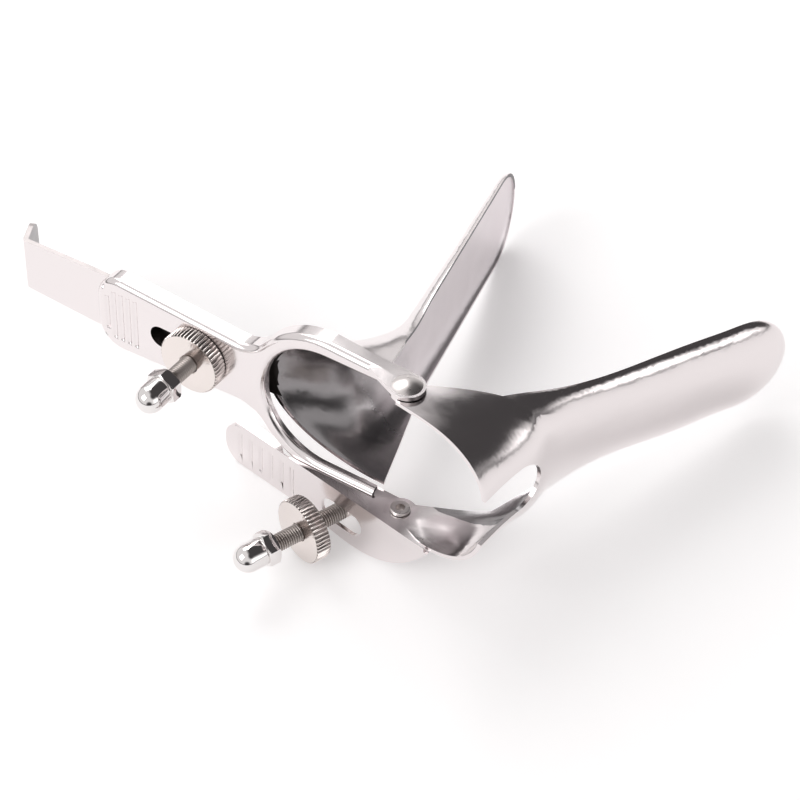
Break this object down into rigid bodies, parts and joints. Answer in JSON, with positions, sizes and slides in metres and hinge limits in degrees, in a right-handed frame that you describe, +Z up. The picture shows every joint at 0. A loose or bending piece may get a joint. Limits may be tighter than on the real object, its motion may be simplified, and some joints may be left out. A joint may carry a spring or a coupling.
{
  "type": "bivalve speculum",
  "caption": "Hand-held bivalve speculum: two spoon-shaped blades on a ringed yoke with a channel handle, a thumb lever and knurled lock nuts on threaded studs.",
  "frame": {"origin": "centre of the footprint on the table, at the bottom of the bounding box, with the instrument lying on its lever side", "axes": "+X from the handle end towards the upper blade, +Y forward along the blades, +Z up from the table"},
  "size_m": [0.2208, 0.1642, 0.0681],
  "materials": {
    "polished_steel": "mirror-polished stainless steel sheet",
    "rivet_steel": "polished rivets",
    "nickel_nut": "bright plated brass, straight-knurled rim",
    "nickel_acorn": "bright plated cap nut",
    "stud_steel": "machined threaded rod",
    "bracket_steel": "satin-polished boss brazed to the arm"
  },
  "bodies": {
    "yoke": {"yoke_frame": "polished_steel", "pivot_rivet_left": "rivet_steel", "pivot_rivet_right": "rivet_steel", "stud_bracket": "bracket_steel", "stud_pin": "rivet_steel"},
    "lower_blade": {"posterior_blade": "polished_steel", "handle_stud": "stud_steel", "handle_acorn_nut": "nickel_acorn"},
    "upper_blade": {"anterior_blade": "polished_steel"},
    "handle_nut": {"handle_knurled_nut": "nickel_nut"},
    "lever_stud_body": {"lever_stud": "stud_steel", "lever_acorn_nut": "nickel_acorn"},
    "lever_nut": {"lever_knurled_nut": "nickel_nut"}
  },
  "joints": [
    {"name": "blade_slide", "type": "slide", "parent": "yoke", "child": "lower_blade", "axis": [0.9999, 0, 0.0122], "range_m": [-0.014, 0.006]},
    {"name": "anterior_pivot", "type": "hinge", "parent": "yoke", "child": "upper_blade", "pos_m": [0.03789, -0.03763, 0.041], "axis": [-0.0119, 0.213, 0.977], "range_deg": [0, 42]},
    {"name": "handle_nut_travel", "type": "slide", "parent": "lower_blade", "child": "handle_nut", "axis": [-0.0026, -0.977, 0.213], "range_m": [0, 0.0092]},
    {"name": "lever_stud_swivel", "type": "hinge", "parent": "yoke", "child": "lever_stud_body", "pos_m": [0.021, -0.04086, 0.00721], "axis": [-0.0119, 0.213, 0.977], "range_deg": [0, 48.5]},
    {"name": "lever_nut_travel", "type": "slide", "parent": "lever_stud_body", "child": "lever_nut", "axis": [-0.3444, -0.9181, 0.196], "range_m": [0, 0.0056]}
  ],
  "couplings": [
    {"joint": "lever_stud_swivel", "follows": "anterior_pivot", "ratio": 1.15},
    {"joint": "lever_nut_travel", "follows": "anterior_pivot", "m_per_rad": 0.0075}
  ]
}
